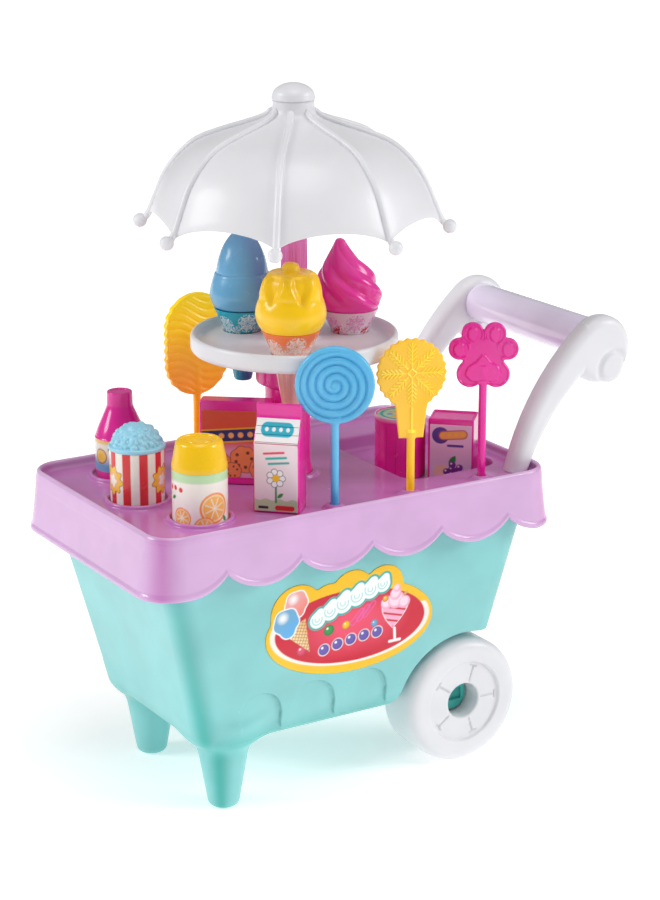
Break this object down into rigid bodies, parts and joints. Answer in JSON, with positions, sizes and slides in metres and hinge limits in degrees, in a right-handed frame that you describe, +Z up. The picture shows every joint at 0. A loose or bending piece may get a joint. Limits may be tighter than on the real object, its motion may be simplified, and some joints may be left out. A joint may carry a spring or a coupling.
{
  "type": "toy ice-cream cart",
  "caption": "Toy push cart with a tub on wheels, a scalloped counter, a turning display tray, a canopy, a push handle and lift-out sweets, drinks and boxes.",
  "frame": {"origin": "on the ground under the middle of the overall length and width", "axes": "+X towards the push handle, -Y towards the cart's left side as its pusher sees it, +Z up"},
  "size_m": [0.2992, 0.166, 0.3635],
  "materials": {
    "tub_plastic": "glossy moulded plastic, mint",
    "counter_plastic": "glossy moulded plastic, lilac",
    "wheel_plastic": "satin moulded plastic, white",
    "white_plastic": "glossy moulded plastic, white",
    "badge": null,
    "clear_lilac": "translucent lilac plastic",
    "magenta_plastic": "glossy moulded plastic, magenta",
    "pink_plastic": "glossy moulded plastic, pink",
    "cyan_card": "printed cup, white snowflakes on cyan",
    "orange_card": "printed cup, white snowflakes on orange",
    "pink_card": "printed cup, pink on white",
    "blue_plastic": "glossy moulded plastic, sky blue",
    "yellow_plastic": "glossy moulded plastic, yellow",
    "amber_plastic": "glossy moulded plastic, amber",
    "clear_magenta": "translucent magenta plastic",
    "red_plastic": "printed cup, red and white stripes",
    "pale_plastic": "glossy moulded plastic, pale green",
    "label": null
  },
  "bodies": {
    "cart": {"tub": "tub_plastic", "counter": "counter_plastic", "axle_pin_left": "tub_plastic", "axle_pin_right": "tub_plastic", "side_badge_left": "badge", "side_badge_right": "badge", "handle_arm_left": "white_plastic", "handle_arm_right": "white_plastic", "grip_bar": "clear_lilac", "pole_base": "magenta_plastic", "pole": "pink_plastic"},
    "wheel_left_body": {"wheel_left": "wheel_plastic"},
    "wheel_right_body": {"wheel_right": "wheel_plastic"},
    "tray_body": {"display_tray": "white_plastic"},
    "canopy_body": {"canopy": "white_plastic", "canopy_cap": "white_plastic"},
    "blue_ice_cream": {"blue_cone_cup": "cyan_card", "blue_cream": "blue_plastic"},
    "yellow_ice_cream": {"orange_cone_cup": "orange_card", "yellow_cream": "yellow_plastic"},
    "magenta_ice_cream": {"pink_cone_cup": "pink_card", "magenta_cream": "magenta_plastic"},
    "spiral_lollipop_body": {"spiral_lollipop": "blue_plastic"},
    "snowflake_lollipop_body": {"snowflake_lollipop": "yellow_plastic"},
    "paw_lollipop_body": {"paw_lollipop": "magenta_plastic"},
    "bar_lollipop_body": {"bar_lollipop": "amber_plastic"},
    "bottle_body": {"bottle": "clear_magenta", "bottle_cap": "magenta_plastic", "bottle_label": "label"},
    "popcorn_body": {"popcorn_cup": "red_plastic", "popcorn": "blue_plastic"},
    "juice_body": {"juice_can": "pale_plastic", "juice_cap": "yellow_plastic", "juice_label": "label"},
    "cookie_body": {"cookie_box": "magenta_plastic", "cookie_label": "label"},
    "milk_body": {"milk_carton": "magenta_plastic", "milk_label": "label"},
    "snack_body": {"snack_box": "magenta_plastic", "snack_label": "label"},
    "round_can_body": {"round_can": "magenta_plastic", "round_can_lid": "label"}
  },
  "joints": [
    {"name": "wheel_left_spin", "type": "hinge", "parent": "cart", "child": "wheel_left_body", "pos_m": [0.0441, -0.048, 0.0346], "axis": [0, 1, 0], "continuous": true},
    {"name": "wheel_right_spin", "type": "hinge", "parent": "cart", "child": "wheel_right_body", "pos_m": [0.0441, 0.048, 0.0346], "axis": [0, 1, 0], "continuous": true},
    {"name": "tray_turn", "type": "hinge", "parent": "cart", "child": "tray_body", "pos_m": [-0.024, 0, 0.2288], "axis": [0, 0, 1], "continuous": true},
    {"name": "canopy_lift", "type": "slide", "parent": "cart", "child": "canopy_body", "axis": [0, 0, 1], "range_m": [0, 0.02]},
    {"name": "blue_ice_cream_lift", "type": "slide", "parent": "tray_body", "child": "blue_ice_cream", "axis": [0, 0, 1], "range_m": [0, 0.025]},
    {"name": "yellow_ice_cream_lift", "type": "slide", "parent": "tray_body", "child": "yellow_ice_cream", "axis": [0, 0, 1], "range_m": [0, 0.025]},
    {"name": "magenta_ice_cream_lift", "type": "slide", "parent": "tray_body", "child": "magenta_ice_cream", "axis": [0, 0, 1], "range_m": [0, 0.025]},
    {"name": "spiral_lollipop_lift", "type": "slide", "parent": "cart", "child": "spiral_lollipop_body", "axis": [0, 0, 1], "range_m": [0, 0.02]},
    {"name": "snowflake_lollipop_lift", "type": "slide", "parent": "cart", "child": "snowflake_lollipop_body", "axis": [0, 0, 1], "range_m": [0, 0.02]},
    {"name": "paw_lollipop_lift", "type": "slide", "parent": "cart", "child": "paw_lollipop_body", "axis": [0, 0, 1], "range_m": [0, 0.02]},
    {"name": "bar_lollipop_lift", "type": "slide", "parent": "cart", "child": "bar_lollipop_body", "axis": [0, 0, 1], "range_m": [0, 0.02]},
    {"name": "bottle_lift", "type": "slide", "parent": "cart", "child": "bottle_body", "axis": [0, 0, 1], "range_m": [0, 0.025]},
    {"name": "popcorn_lift", "type": "slide", "parent": "cart", "child": "popcorn_body", "axis": [0, 0, 1], "range_m": [0, 0.025]},
    {"name": "juice_lift", "type": "slide", "parent": "cart", "child": "juice_body", "axis": [0, 0, 1], "range_m": [0, 0.025]},
    {"name": "cookie_box_slide", "type": "slide", "parent": "cart", "child": "cookie_body", "axis": [-0.6157, -0.788, 0], "range_m": [0, 0.016]},
    {"name": "milk_carton_slide", "type": "slide", "parent": "cart", "child": "milk_body", "axis": [-0.7193, 0.6947, 0], "range_m": [0, 0.01]},
    {"name": "snack_box_lift", "type": "slide", "parent": "cart", "child": "snack_body", "axis": [0, 0, 1], "range_m": [0, 0.025]},
    {"name": "round_can_lift", "type": "slide", "parent": "cart", "child": "round_can_body", "axis": [0, 0, 1], "range_m": [0, 0.025]}
  ]
}
